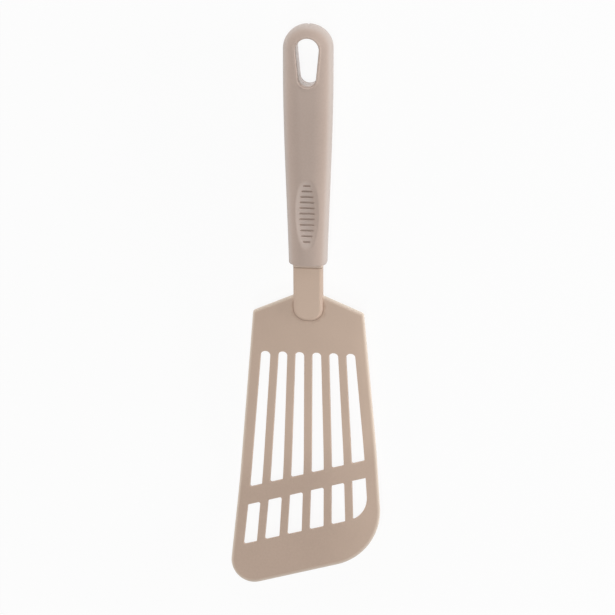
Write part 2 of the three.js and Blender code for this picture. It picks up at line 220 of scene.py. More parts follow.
def mouldedPlastic(name, slot, look):
    material = bpy.data.materials.new(name)
    material["slot"] = slot
    material.use_nodes = True
    tree = material.node_tree
    link = tree.links.new
    shader = tree.nodes["Principled BSDF"]
    shader.inputs["IOR"].default_value = 1.5
    shader.inputs["Specular IOR Level"].default_value = look["gloss"]
    coords = node(tree, "ShaderNodeTexCoord", (-1300, 0))

    cloud = node(tree, "ShaderNodeTexNoise", (-1050, 300), Scale=look["cloudScale"], Detail=3.0)
    speck = node(tree, "ShaderNodeTexNoise", (-1050, 60), Scale=look["speckScale"], Detail=2.0)
    grain = node(tree, "ShaderNodeTexNoise", (-1050, -200), Scale=look["grainScale"], Detail=4.0)
    ripple = node(tree, "ShaderNodeTexNoise", (-1050, -460), Scale=look["rippleScale"], Detail=1.0)
    for texture in (cloud, speck, grain, ripple):
        link(coords.outputs["Object"], texture.inputs["Vector"])

    tint = tree.nodes.new("ShaderNodeValToRGB")  # slow colour drift of the moulding
    tint.location = (-800, 300)
    tint.color_ramp.elements[0].position = 0.3
    tint.color_ramp.elements[0].color = look["darkTone"]
    tint.color_ramp.elements[1].position = 0.7
    tint.color_ramp.elements[1].color = look["paleTone"]
    link(cloud.outputs["Fac"], tint.inputs["Fac"])

    pigment = node(tree, "ShaderNodeMix", (-520, 220))  # fine pigment specks
    pigment.data_type = "RGBA"
    pigment.blend_type = "OVERLAY"
    pigment.inputs["Factor"].default_value = look["speckAmount"]
    link(tint.outputs["Color"], pigment.inputs["A"])
    link(speck.outputs["Fac"], pigment.inputs["B"])

    edge = node(tree, "ShaderNodeAttribute", (-800, -700))  # paler tone from this attribute: partly rubbed edges, mostly painted light and shade on the eye's wall, the thumb rest, the neck and the blade
    edge.attribute_name = "wearAndPaintedLight"
    uneven = node(tree, "ShaderNodeMapRange", (-800, -900))
    uneven.inputs["To Min"].default_value = 0.35
    uneven.inputs["To Max"].default_value = 0.65
    link(cloud.outputs["Fac"], uneven.inputs["Value"])
    rubAndLight = node(tree, "ShaderNodeMath", (-560, -640))
    rubAndLight.operation = "MULTIPLY"
    link(edge.outputs["Fac"], rubAndLight.inputs[0])
    link(uneven.outputs["Result"], rubAndLight.inputs[1])
    wornAndLit = node(tree, "ShaderNodeMix", (-260, 160))
    wornAndLit.data_type = "RGBA"
    link(rubAndLight.outputs["Value"], wornAndLit.inputs["Factor"])
    link(pigment.outputs["Result"], wornAndLit.inputs["A"])
    wornAndLit.inputs["B"].default_value = look["rubbedAndLitTone"]
    rim = node(tree, "ShaderNodeAttribute", (-260, -640))  # painted sheen: the outer edges are mixed towards a greyer tone that stands in for the white reflected at grazing angles
    rim.attribute_name = "paintedSheen"
    sheened = node(tree, "ShaderNodeMix", (-60, 160))
    sheened.data_type = "RGBA"
    link(rim.outputs["Fac"], sheened.inputs["Factor"])
    link(wornAndLit.outputs["Result"], sheened.inputs["A"])
    sheened.inputs["B"].default_value = look["sheenTone"]
    link(sheened.outputs["Result"], shader.inputs["Base Color"])

    polish = node(tree, "ShaderNodeMapRange", (-520, -180))
    polish.inputs["To Min"].default_value = look["roughness"][0]
    polish.inputs["To Max"].default_value = look["roughness"][1]
    link(grain.outputs["Fac"], polish.inputs["Value"])
    link(polish.outputs["Result"], shader.inputs["Roughness"])

    wave = node(tree, "ShaderNodeBump", (-520, -440), Strength=look["rippleDepth"], Distance=0.0004)
    skin = node(tree, "ShaderNodeBump", (-260, -340), Strength=look["grainDepth"], Distance=0.00008)
    link(ripple.outputs["Fac"], wave.inputs["Height"])
    link(grain.outputs["Fac"], skin.inputs["Height"])
    link(wave.outputs["Normal"], skin.inputs["Normal"])
    link(skin.outputs["Normal"], shader.inputs["Normal"])
    return material


headLook = {  # warm beige nylon of the blade and neck
    "darkTone": (0.428, 0.316, 0.246, 1),
    "paleTone": (0.461, 0.342, 0.269, 1),
    # paler tone for rubbed edges and for the painted light on the blade and neck
    "rubbedAndLitTone": (0.680, 0.516, 0.402, 1),
    # greyer tone of the painted sheen on the outer edges
    "sheenTone": (0.660, 0.600, 0.520, 1),
    "cloudScale": 22.0,
    "speckScale": 900.0,
    "speckAmount": 0.06,
    "grainScale": 2600.0,
    "grainDepth": 0.25,
    "rippleScale": 60.0,
    "rippleDepth": 0.05,
    "roughness": (0.46, 0.60),
    "gloss": 0.45,
}
handleLook = {  # greyer taupe of the handle shells
    "darkTone": (0.424, 0.330, 0.280, 1),
    "paleTone": (0.452, 0.355, 0.302, 1),
    # near white, for the painted light from below on the eye's wall and on the thumb rest, and for
    # paler rubbed edges
    "rubbedAndLitTone": (0.950, 0.900, 0.870, 1),
    # greyer tone of the painted sheen on the outer edges
    "sheenTone": (0.465, 0.455, 0.445, 1),
    "cloudScale": 26.0,
    "speckScale": 1000.0,
    "speckAmount": 0.06,
    "grainScale": 3000.0,
    "grainDepth": 0.30,
    "rippleScale": 70.0,
    "rippleDepth": 0.05,
    "roughness": (0.48, 0.62),
    "gloss": 0.45,
}
collarLook = dict(  # a little paler than the neck
    headLook,
    darkTone=(0.500, 0.398, 0.325, 1),
    paleTone=(0.530, 0.425, 0.350, 1),
    cloudScale=40.0,
)
headNylon = mouldedPlastic("headNylon", "head_nylon", headLook)
handlePlastic = mouldedPlastic("handlePlastic", "handle_plastic", handleLook)
collarPlastic = mouldedPlastic("collarPlastic", "collar_plastic", collarLook)
print("plastics mixed")


# handle shells

shellSet = {
    "mouthWidth": 20.4,
    "mouthFlare": 1.0,
    "mouthTangent": 36.0,
    "wideTangent": 35.0,
    "wideRun": 12.4,  # straight sides before the crown
    "crownLength": 12.6,
    "edgeRise": 6.0,  # the sides round over softly, as a quarter ellipse
    "edgeInset": 9.5,
    "ringInset": 4.0,  # rings run this far in, a fine net fills the rest
    "edgeSteps": 14,
    "mouthRound": 1.5,
    "mouthSteps": 6,
    "seamGap": 0.15,
    "seamRound": 0.2,
    "gateDip": 0.25,  # small mark of the moulding gate at the crown
    "gateWidth": 0.7,
    # painted sheen on the shell's outer edges, and how far in it reaches
    "paintedSheen": 0.38,
    "sheenReach": 3.0,
    "net": 0.9,
}
eyeSet = {
    "topRadius": 6.2,
    "bottomRadius": 4.8,
    "spacing": 14.8,
    "margin": 6.8,
    "backRim": 0.9,
    "backRun": 0.5,
    "rim": 0.5,
    "rimSteps": 7,
    "bead": 0.3,  # the front rim stands up a little
    "beadReach": 1.6,
    "ledge": 0.2,  # fine dark step inside the front rim
    "ledgeDrop": 0.6,
    "ledgeShift": 0.1,  # the front rim sits a little to the right
    "ledgeSoft": 0.08,
    "ledgeEnd": 0.1,
    "lip": 0.15,
    "undercut": 0.12,
    "draft": 0.25,
    # share of the depth and paleness: painted light from below makes the wall paler further in, and
    # at its sides from sideFrom on
    "frontWall": ((0.15, 0.1), (0.4, 0.6), (0.7, 1.6), (0.97, 2.0)),
    "backWall": ((0.02, 0.3), (0.2, 0.9), (0.5, 1.7), (0.97, 2.0)),
    "sideLight": 2.2,
    "sideFrom": 0.18,
}
thumbSet = {
    "centre": 28.6,
    "length": 39.0,
    "width": 12.7,
    "depth": 1.85,
    "radius": 20.0,
    "softEdge": 0.05,
    "grooves": 11,
    "grooveCentre": 29.0,
    "pitch": 3.08,
    "grooveWidth": 0.9,
    "grooveDepth": 0.65,
    "grooveRings": (0.14, 0.28, 0.36, 0.43, 0.5, 0.57, 0.7),  # mesh lines round each groove
    "grooveSpan": 8.3,
    "grooveEndRun": 2.2,
    "rubbedAndLit": 0.2,  # the lands between the grooves are paler, as rubbing and as painted light on the dish's lit left side
    "rubbedAndLitTo": 4.5,  # the painted light fades out before the shaded right wall
    "net": 0.45,
}


def shellPath():
    # plan of one shell from the right of the mouth, round the crown, to its left: x, y, normal
    half, mouth = handleWidth / 2, shellSet["mouthWidth"] / 2
    crown = handleLength - shellSet["crownLength"]
    wideFrom = crown - shellSet["wideRun"]
    p = [
        Vector((mouth, 0)),
        Vector((mouth + shellSet["mouthFlare"], shellSet["mouthTangent"])),
        Vector((half, wideFrom - shellSet["wideTangent"])),
        Vector((half, wideFrom)),
    ]

    def bezier(t):
        u = 1 - t
        at = p[0] * u**3 + p[1] * 3 * u * u * t + p[2] * 3 * u * t * t + p[3] * t**3
        way = (p[1] - p[0]) * u * u + (p[2] - p[1]) * 2 * u * t + (p[3] - p[2]) * t * t
        way.normalize()
        return at.x, at.y, way.y, -way.x

    start = 0.0
    while bezier(start)[1] < shellSet["mouthRound"]:
        start += 0.0005
    right = [bezier(start + (1 - start) * i / 60) for i in range(61)]
    right += [(half, wideFrom + shellSet["wideRun"] * i / 8, 1, 0) for i in range(1, 8)]
    arc = []
    for i in range(121):
        angle = math.pi * i / 120
        way = Vector((math.cos(angle) / half, math.sin(angle) / shellSet["crownLength"])).normalized()
        x, y = half * math.cos(angle), crown + shellSet["crownLength"] * math.sin(angle)
        arc.append((x, y, way.x, way.y))
    left = [(-x, y, -nx, ny) for x, y, nx, ny in reversed(right)]
    return right + arc + left


shellLine = shellPath()


def edgeTree():
    # fine points along the plan, run on past the mouth, to measure the distance from the edge
    points = [Vector((x, y)) for x, y, _, _ in shellLine]
    first, last = points[0], points[-1]
    points = [Vector((first.x, -12))] + points + [Vector((last.x, -12))]
    fine = []
    for here, after in zip(points, points[1:]):
        steps = max(1, math.ceil((after - here).length / 0.08))
        fine += [here.lerp(after, k / steps) for k in range(steps)]
    tree = KDTree(len(fine))
    for i, point in enumerate(fine):
        tree.insert((point.x, point.y, 0), i)
    tree.balance()
    return tree


shellEdge = edgeTree()


def roundOver(inset):
    # height lost at a distance from the edge
    share = 1 - min(inset / shellSet["edgeInset"], 1)
    return shellSet["edgeRise"] * (1 - math.sqrt(1 - share * share))


def shellHeight(x, y):
    return midHeight - roundOver(shellEdge.find((x, y, 0))[2])


def sectionWay(inset):
    # outward direction in the section, as side and up
    share = 1 - min(inset / shellSet["edgeInset"], 1)
    side = shellSet["edgeRise"] * share
    up = shellSet["edgeInset"] * math.sqrt(1 - share * share)
    long = math.hypot(side, up)
    return side / long, up / long


def shellProfile():
    # the outer edge as inset, height above the seam plane and wear, from the seam up
    gap, soft = shellSet["seamGap"], shellSet["seamRound"]
    low = midHeight - shellSet["edgeRise"]
    # the seam's rounded edge is a little paler, as rubbing and as painted highlight
    profile = [(soft, gap, 0.0), (soft * 0.3, gap + soft * 0.3, 0.1), (0, gap + soft, 0.1)]
    profile.append((0, (low + gap + soft) / 2, 0.0))
    last = math.acos(1 - shellSet["ringInset"] / shellSet["edgeInset"])
    for i in range(shellSet["edgeSteps"] + 1):
        inset = shellSet["edgeInset"] * (1 - math.cos(last * i / shellSet["edgeSteps"]))
        profile.append((inset, midHeight - roundOver(inset), 0.0))
    return profile


def eyeLoop(grow):
    top = handleLength - eyeSet["margin"] - eyeSet["topRadius"]
    tilt = math.asin((eyeSet["topRadius"] - eyeSet["bottomRadius"]) / eyeSet["spacing"])
    loop = []
    for i in range(49):
        angle = -tilt + (math.pi + 2 * tilt) * i / 48
        radius = eyeSet["topRadius"] + grow
        loop.append((radius * math.cos(angle), top + radius * math.sin(angle)))
    leftRun = sideRun(loop[-1], grow, top, math.pi + tilt)
    rightRun = [(-x, y) for x, y in reversed(leftRun)]
    loop += leftRun
    for i in range(37):
        angle = math.pi + tilt + (math.pi - 2 * tilt) * i / 36
        radius = eyeSet["bottomRadius"] + grow
        loop.append((radius * math.cos(angle), top - eyeSet["spacing"] + radius * math.sin(angle)))
    return loop + rightRun


def sideRun(start, grow, top, angle):
    # points between the eye's two arcs on its left side
    radius = eyeSet["bottomRadius"] + grow
    end = (radius * math.cos(angle), top - eyeSet["spacing"] + radius * math.sin(angle))
    return [tuple(Vector(start).lerp(Vector(end), k / 14)) for k in range(1, 14)]


def grooveRows():
    # centre and half length of each groove
    rows = []
    rowHalf = (thumbSet["grooves"] - 1) / 2 * thumbSet["pitch"]
    for i in range(thumbSet["grooves"]):
        off = i * thumbSet["pitch"] - rowHalf
        share = off / (rowHalf + thumbSet["grooveEndRun"])
        half = thumbSet["grooveSpan"] / 2 * math.sqrt(1 - share * share)
        rows.append((thumbSet["grooveCentre"] + off, half))
    return rows


def grooveGap(x, y, rows):
    # distance from the nearest groove's middle line
    near = 9.0
    for centre, half in rows:
        if abs(y - centre) < 3:
            reach = half - thumbSet["grooveWidth"] / 2
            near = min(near, math.hypot(max(abs(x) - reach, 0), y - centre))
    return near


def thumbHeight(x, y, rows):
    body = shellHeight(x, y)
    far = y - thumbSet["centre"]
    if abs(far) > thumbSet["length"] * 0.6 or abs(x) > thumbSet["width"] * 0.65:
        return body, 0.0
    radius, depth = thumbSet["radius"], thumbSet["depth"]
    stretch = thumbSet["length"] / 2 / math.sqrt(radius * radius - (radius - depth) ** 2)
    bowl = midHeight - depth + radius - math.sqrt(radius * radius - x * x - (far / stretch) ** 2)
    soft = thumbSet["softEdge"]
    over = (body - bowl) / 2
    z = (body + bowl) / 2 - math.sqrt(over * over + soft * soft)
    gap = grooveGap(x, y, rows)
    half = thumbSet["grooveWidth"] / 2
    cut = thumbSet["grooveDepth"] * (1 - smoothStep(half * 0.6, half * 1.1, gap))
    # painted light: the lands are paler towards the dish's lit left side and fade out before its
    # shaded right wall, along with rubbing
    rubbedAndLit = thumbSet["rubbedAndLit"] * smoothStep(0, 0.25, over) * smoothStep(half, half * 1.3, gap)
    rubbedAndLit *= 1 - smoothStep(0, thumbSet["rubbedAndLitTo"], x)
    return z - cut, rubbedAndLit


def grooveRing(centre, half, gap):
    reach = half - thumbSet["grooveWidth"] / 2
    ring = []
    steps = max(2, round(2 * reach / 0.45))
    for i in range(steps):
        ring.append((-reach + 2 * reach * i / steps, centre - gap))
    for i in range(9):
        angle = -math.pi / 2 + math.pi * i / 8
        ring.append((reach + gap * math.cos(angle), centre + gap * math.sin(angle)))
    for i in range(1, steps):
        ring.append((reach - 2 * reach * i / steps, centre + gap))
    for i in range(8):
        angle = math.pi / 2 + math.pi * i / 8
        ring.append((-reach + gap * math.cos(angle), centre + gap * math.sin(angle)))
    return ring


def netPoints(outline, hole, front, rows):
    # points of the fine net over the shell's top, closer together round the thumb rest
    points = []

    def lay(step, width, low, high, wanted):
        lines = math.ceil((high - low) / (step * 0.87))
        for k in range(lines + 1):
            y = low + k * step * 0.87
            count = math.ceil(width / step)
            for i in range(-count, count + 1):
                x = (i + 0.5 * (k % 2)) * step
                if wanted(x, y):
                    points.append((x, y))

    def nearThumb(x, y):
        far = (y - thumbSet["centre"]) / (thumbSet["length"] / 2 + 1.6)
        return front and math.hypot(x / (thumbSet["width"] / 2 + 1.6), far) < 1

    def clear(x, y, margin):
        spots = around(x, y, margin)
        return all(insideLoop(*s, outline) and not insideLoop(*s, hole) for s in spots)

    def wideNet(x, y):
        return not nearThumb(x, y) and clear(x, y, shellSet["net"] * 0.6)

    def fineNet(x, y):
        return nearThumb(x, y) and grooveGap(x, y, rows) > 0.9 and clear(x, y, thumbSet["net"] * 0.5)

    lay(shellSet["net"], handleWidth / 2, 0, handleLength, wideNet)
    if front:
        low = thumbSet["centre"] - thumbSet["length"] / 2 - 2
        high = thumbSet["centre"] + thumbSet["length"] / 2 + 2
        lay(thumbSet["net"], thumbSet["width"] / 2 + 2, low, high, fineNet)
    return points


def buildShell(name, node, side):
    # side is 1 for the front shell with the thumb rest, -1 for the back
    build = Builder()
    profile = shellProfile()
    front = side > 0
    rows = grooveRows()
    rings = []
    for inset, height, wearAndPaintedLight in profile:
        ring = []
        for x, y, nx, ny in shellLine:
            dip = shellSet["gateDip"] * math.exp(-(x / shellSet["gateWidth"]) ** 2)
            dip *= (y > handleLength / 2) * (1 - smoothStep(0.3, 1.6, inset))
            ring.append(build.vert(x - nx * inset, y - ny * inset - dip, height, wearAndPaintedLight))
        rings.append(ring)
    for low, high in zip(rings, rings[1:]):
        build.strip(low, high, closed=False)

    lipY = shellLine[0][1]
    topHalf = rings[-1][0].co.x
    across = [topHalf * (1 - 2 * i / 14) for i in range(1, 14)]
    lip = [build.vert(x, lipY, shellHeight(x, lipY)) for x in reversed(across)]  # left to right
    section = [ring[0] for ring in rings] + lip[::-1] + [ring[-1] for ring in reversed(rings)]
    ways = []
    for vert in section:
        way = sectionWay(shellEdge.find((vert.co.x, vert.co.y, 0))[2])
        ways.append((math.copysign(way[0], vert.co.x), way[1]))
    starts = [vert.co.copy() for vert in section]
    lipRows = [section]
    soft = shellSet["mouthRound"]
    for i in range(1, shellSet["mouthSteps"] + 1):
        angle = math.pi / 2 * i / shellSet["mouthSteps"]
        sink = soft * (1 - math.cos(angle))
        # the mouth's rounded edge is a little paler, as rubbing and as painted highlight
        wearAndPaintedLight = 0.12 * math.sin(2 * angle)
        fresh = []
        for at, (nx, nz) in zip(starts, ways):
            z = max(at.z - nz * sink, shellSet["seamGap"])
            fresh.append(build.vert(at.x - nx * sink, soft * (1 - math.sin(angle)), z, wearAndPaintedLight))
        build.strip(lipRows[-1], fresh, closed=False, flip=True)
        lipRows.append(fresh)
    build.mesh.faces.new(lipRows[-1])

    rim, ledge, bead, shift = eyeSet["backRim"], 0, 0, 0
    steps = [(0, 0, eyeSet["backRun"])]  # grow, shift and drop of the rings below the rim
    if front:
        rim, ledge, bead, shift = (eyeSet[key] for key in ("rim", "ledge", "bead", "ledgeShift"))
        under, drop = ledge + eyeSet["undercut"], eyeSet["ledgeDrop"]
        steps = [(under, shift, eyeSet["lip"]), (under, shift, drop)]
        steps += [(eyeSet["ledgeSoft"], 0, drop), (0, 0, drop + eyeSet["ledgeEnd"])]
    crest = [shellHeight(x + shift, y) + bead for x, y in eyeLoop(ledge + rim)]
    eyeRings = []

    eyeFoot = handleLength - eyeSet["margin"] - eyeSet["topRadius"] - eyeSet["spacing"]

    def addEyeRing(grow, right, heights, wearAndPaintedLight=0.0, sides=0.0):
        ring = []
        for (x, y), z in zip(eyeLoop(grow), heights):
            # painted light from below: the wall's sides above the eye's foot are made paler
            pale = max(wearAndPaintedLight, sides * smoothStep(eyeFoot - 3, eyeFoot + 3, y))
            ring.append(build.vert(x + right, y, z, pale))
        eyeRings.append(ring)

    for share in (0, 0.25, 0.5, 0.75):
        grow = eyeSet["beadReach"] + (ledge + rim - eyeSet["beadReach"]) * share
        lift = bead * smoothStep(0, 1, share)
        addEyeRing(grow, shift, [shellHeight(x + shift, y) + lift for x, y in eyeLoop(grow)])
    for i in range(eyeSet["rimSteps"] + 1):
        angle = math.pi / 2 * i / eyeSet["rimSteps"]
        sink = rim * (1 - math.cos(angle))
        grow = ledge + rim * (1 - math.sin(angle))
        # the rim's rounding is a little paler, as rubbing and as painted highlight
        addEyeRing(grow, shift, [z - sink for z in crest], 0.1 * math.sin(2 * angle))
    for grow, right, sink in steps:
        addEyeRing(grow, right, [z - rim - sink for z in crest])
    base = midHeight - rim - steps[-1][2]
    # painted light from below: the walls grow paler further in
    for share, wearAndPaintedLight in eyeSet["frontWall" if front else "backWall"]:
        height = base - share * (base - shellSet["seamGap"])
        sides = eyeSet["sideLight"] if share > eyeSet["sideFrom"] else 0
        addEyeRing(-eyeSet["draft"] * share, 0, [height] * len(crest), wearAndPaintedLight, sides)
    addEyeRing(-eyeSet["draft"] + shellSet["seamRound"], 0, [shellSet["seamGap"]] * len(crest))
    for high, low in zip(eyeRings, eyeRings[1:]):
        build.strip(high, low, flip=True)

    outer = rings[-1] + lip
    hole = eyeRings[0]
    outline = [tuple(vert.co[:2]) for vert in outer]
    net = netPoints(outline, [tuple(vert.co[:2]) for vert in hole], front, rows)
    lines = []
    if front:
        for centre, half in rows:
            lines += [grooveRing(centre, half, gap) for gap in thumbSet["grooveRings"]]

    def shellTop(x, y):
        return thumbHeight(x, y, rows) if front else (shellHeight(x, y), 0.0)

    build.fill([outer, hole], net, shellTop, lines)
    seamLoop = rings[0] + [row[-1] for row in lipRows[1:]] + [row[0] for row in reversed(lipRows[1:])]
    build.fill([seamLoop, eyeRings[-1]], height=lambda x, y: (shellSet["seamGap"], 0.0), flip=True)

    # painted sheen: the outer edges are greyed
    for vert in build.mesh.verts:
        inset = shellEdge.find((vert.co.x, vert.co.y, 0))[2]
        vert[build.paintedSheen] = shellSet["paintedSheen"] * (1 - smoothStep(0, shellSet["sheenReach"], inset))

    def place(at):
        return Vector((at.x, at.y + mouthY, midHeight + side * at.z))

    return build.finish(name, place, handlePlastic, node)


handleFront = buildShell("handleFront", "handle_front", 1)
handleBack = buildShell("handleBack", "handle_back", -1)


# collar ring

collarSet = {
    "corner": 2.15,
    "round": 0.3,
    "bore": 2.3,  # wall left round the tang
    # the collar's rounded edges are paler, as rubbing and as painted highlight
    "rubbedAndLit": 0.5,
}


def buildCollar():
    build = Builder()
    low, high = collarBox
    half, rise = (high.x - low.x) / 2, (high.z - low.z) / 2
    length, soft = high.y - low.y, collarSet["round"]

    def ring(inset, y, wearAndPaintedLight):
        corner = max(collarSet["corner"] - inset, 0.2)
        a, b = half - inset - corner, rise - inset - corner
        loop = []
        for i, (sx, sz) in enumerate(((1, 1), (-1, 1), (-1, -1), (1, -1))):
            for k in range(9):
                angle = math.pi / 2 * (i + k / 8)
                loop.append((sx * a + corner * math.cos(angle), sz * b + corner * math.sin(angle)))
        return [build.vert(x, y, z, wearAndPaintedLight) for x, z in loop]

    def place(at):
        return Vector((at.x, at.y + low.y, at.z + midHeight))

    quarter = []
    for i in range(5):
        angle = math.pi / 2 * i / 4
        # paler rounded edges: rubbing and painted highlight
        wearAndPaintedLight = collarSet["rubbedAndLit"] * math.sin(2 * angle)
        quarter.append((soft * (1 - math.sin(angle)), soft * (1 - math.cos(angle)), wearAndPaintedLight))
    rows = [ring(collarSet["bore"], 0, 0)]
    rows += [ring(inset, along, wearAndPaintedLight) for inset, along, wearAndPaintedLight in quarter]
    rows += [ring(inset, length - along, wearAndPaintedLight) for inset, along, wearAndPaintedLight in reversed(quarter)]
    rows.append(ring(collarSet["bore"], length, 0))
    for first, second in zip(rows, rows[1:] + rows[:1]):
        build.strip(first, second)
    return build.finish("neckCollar", place, collarPlastic, "neck_collar")


neckCollar = buildCollar()


# blade head: slotted blade, neck and foot in one moulding

bladeSet = {
    "thickness": 2.4,
    "edgeRise": 0.95,
    "edgeInset": 1.8,
    "edgeSteps": 8,
    # painted sheen on the blade's outer edge
    "paintedSheen": 0.6,
    "slotRound": 0.28,
    "shoulderReach": 14.5,
    "shoulderAngle": math.radians(23.5),
    "shoulderCorner": 2.2,
    "rootHalf": 27.75,
    "sideLean": math.tan(math.radians(5)),
    "slant": math.radians(16),
    "frontReach": 170.4,
    "leftCorner": 12.6,
    "rightCorner": 32.0,
    "slots": 6,
    "slotReach": 50.8,
    "slotTopFlat": 0.28,
    "slotCorner": 0.9,
    "barReach": 117.2,
    "barWidth": 9.45,
    "lowerSlot": 21.25,
    "lastCorner": 13.5,
    "rib": 4.35,
    "leftRail": 6.1,
    "rightRail": 6.9,
    "fanX": 2.9,
    "fanReach": -259.5,
    "fanStep": 0.0297,
    "fanSkew": -0.0101,
    "bendReach": 101.5,
    "bendLength": 20.0,
    "bendAngle": math.radians(12),
    "thinning": 0.5,
}
neckSet = {
    "width": 16.0,
    "thickness": 6.4,
    "edge": 2.0,
    "start": mouthY - collarBox[0].y + 0.03,  # just clear of the collar
    "reach": 32.1,
    "corner": 7.0,
    "lineFrom": 20.7,  # where the fine line round the foot starts
    "lineDepth": 0.22,
    # painted light: the neck's top face is made paler
    "pale": 1.02,
}
paintedLightSet = {  # how far painted light makes the head paler
    "rest": 0.80,
    "lean": 0.005,  # for each mm to the right
    "rail": 0.35,  # more on the right rail
    "tip": 0.5,  # at the right of the front section
    "bend": (98, 122),
}


# lines of the flat blade as (a, b, c) with a * x + b * reach = c

def slanted(reach):
    return math.sin(bladeSet["slant"]), math.cos(bladeSet["slant"]), reach


def sideLine(side, inset):
    return side, -bladeSet["sideLean"], bladeSet["rootHalf"] - inset


def shoulderLine(side):
    return -side * math.tan(bladeSet["shoulderAngle"]), 1, bladeSet["shoulderReach"]


def ribLine(index, side):
    lean = (index - (bladeSet["slots"] - 2) / 2) * bladeSet["fanStep"] + bladeSet["fanSkew"]
    return 1, -lean, bladeSet["fanX"] - lean * bladeSet["fanReach"] + side * bladeSet["rib"] / 2


def meet(first, second):
    a, b, c = first
    d, e, f = second
    det = a * e - d * b
    return (c * e - f * b) / det, -(a * f - d * c) / det


def bladeLoop():
    front = slanted(bladeSet["frontReach"])
    left, right = sideLine(-1, 0), sideLine(1, 0)
    return roundedLoop([
        (0, -bladeSet["shoulderReach"], 0),
        (*meet(shoulderLine(-1), left), bladeSet["shoulderCorner"]),
        (*meet(left, front), bladeSet["leftCorner"]),
        (*meet(front, right), bladeSet["rightCorner"]),
        (*meet(right, shoulderLine(1)), bladeSet["shoulderCorner"]),
    ], 2.2, 0.7)


def lastSlot(left, right, top, bottom):
    # the last front slot ends in a large arc that runs out at its inner side
    cornerX, cornerY = meet(right, bottom)
    radius = bladeSet["lastCorner"]
    x0, y0 = meet(right, top)
    up = (Vector((x0, y0)) - Vector((cornerX, cornerY))).normalized()
    x1, y1 = meet(left, bottom)
    across = (Vector((x1, y1)) - Vector((cornerX, cornerY))).normalized()
    half = math.acos(up.dot(across)) / 2
    centre = Vector((cornerX, cornerY)) + (up + across).normalized() * radius / math.sin(half)
    start = Vector((cornerX, cornerY)) + up * radius / math.tan(half)
    xa, ya = meet(left, top)
    along = (Vector((x1, y1)) - Vector((xa, ya))).normalized()
    offset = Vector((xa, ya)) - centre
    back = offset.dot(along)
    reach = -back + math.sqrt(back * back - offset.length_squared + radius * radius)
    stop = Vector((xa, ya)) + along * reach
    sweep = (start - centre).angle_signed(stop - centre)
    small = bladeSet["slotCorner"]
    skip = small / radius  # the sharp corner is rounded off
    arc = []
    for k in range(19):
        angle = (abs(sweep) - skip) * (1 - k / 18)
        arc.append(centre + Matrix.Rotation(math.copysign(angle, -sweep), 2) @ (start - centre))
    before = stop - along * small
    loop = [Vector((xa, ya))]
    addRun(loop, before, 2.2)
    for k in (0.25, 0.5, 0.75):
        loop.append(before * (1 - k) ** 2 + stop * 2 * k * (1 - k) + arc[0] * k * k)
    loop += arc
    addRun(loop, Vector((x0, y0)), 2.2)
    addRun(loop, Vector((xa, ya)), 2.2)
    loop.pop()
    return [(p.x, p.y) for p in loop]


def slotLoops():
    loops = []
    count = bladeSet["slots"]
    barEnd = bladeSet["barReach"] + bladeSet["barWidth"]
    for i in range(count):
        left = sideLine(-1, bladeSet["leftRail"]) if i == 0 else ribLine(i - 1, 1)
        right = sideLine(1, bladeSet["rightRail"]) if i == count - 1 else ribLine(i, -1)
        for top, bottom, roundTop in (
            ((0, 1, bladeSet["slotReach"]), slanted(bladeSet["barReach"]), True),
            (slanted(barEnd), slanted(barEnd + bladeSet["lowerSlot"]), False),
        ):
            small = bladeSet["slotCorner"]
            if i == count - 1 and not roundTop:
                loops.append(lastSlot(left, right, top, bottom))
                continue
            width = math.dist(meet(left, top), meet(right, top))
            corner = (width - bladeSet["slotTopFlat"]) / 2 if roundTop else small
            loops.append(roundedLoop([
                (*meet(left, top), corner),
                (*meet(left, bottom), small),
                (*meet(right, bottom), small),
                (*meet(right, top), corner),
            ], 2.2, 0.22))
    return loops


def slantReach(x, y):
    return x * math.sin(bladeSet["slant"]) - y * math.cos(bladeSet["slant"])


def bendPoint(at):
    beyond = slantReach(at.x, at.y) - bladeSet["bendReach"]
    if beyond <= 0:
        return at.copy()
    radius = bladeSet["bendLength"] / bladeSet["bendAngle"]
    turn = min(beyond / radius, bladeSet["bendAngle"])
    rest = max(beyond - bladeSet["bendLength"], 0)
    whole = bladeSet["frontReach"] - bladeSet["bendReach"]
    height = at.z * (1 - bladeSet["thinning"] * beyond / whole)
    along = (radius - height) * math.sin(turn) + rest * math.cos(turn)
    up = radius - (radius - height) * math.cos(turn) + rest * math.sin(turn)
    shift = along - beyond
    slant = bladeSet["slant"]
    return Vector((at.x + shift * math.sin(slant), at.y - shift * math.cos(slant), up))


def ringStack(build, loop, profile, outward):
    # closed rings of one outline at each (inset, height, wear) of a profile
    normals = loopNormals(loop)
    if sum(a[0] * b[1] - b[0] * a[1] for a, b in zip(loop, loop[1:] + loop[:1])) < 0:
        normals = [-n for n in normals]
    stack = []
    for inset, z, wearAndPaintedLight in profile:
        way = inset if outward else -inset
        ring = []
        for (x, y), normal in zip(loop, normals):
            ring.append(build.vert(x + normal.x * way, y + normal.y * way, z, wearAndPaintedLight))
        stack.append(ring)
    for first, second in zip(stack, stack[1:]):
        build.strip(first, second, flip=outward)
    return stack


def edgeProfile(half, rise, inset, steps, wearAndPaintedLight):
    profile = [(inset + 0.15, half, 0.0)]
    for i in range(steps + 1):
        angle = math.pi / 2 * (1 - i / steps)
        height = half - rise + rise * math.sin(angle)
        profile.append((inset * (1 - math.cos(angle)), height, wearAndPaintedLight * math.sin(2 * angle)))
    return profile + [(inset, -height, rubAndLight) for inset, height, rubAndLight in reversed(profile)]


def footGap(x, y):
    # distance outside the foot's outline
    side = max(abs(x) - neckSet["width"] / 2 + neckSet["corner"], 0)
    down = max(neckSet["corner"] - neckSet["reach"] - y, 0)
    return math.hypot(side, down) - neckSet["corner"]


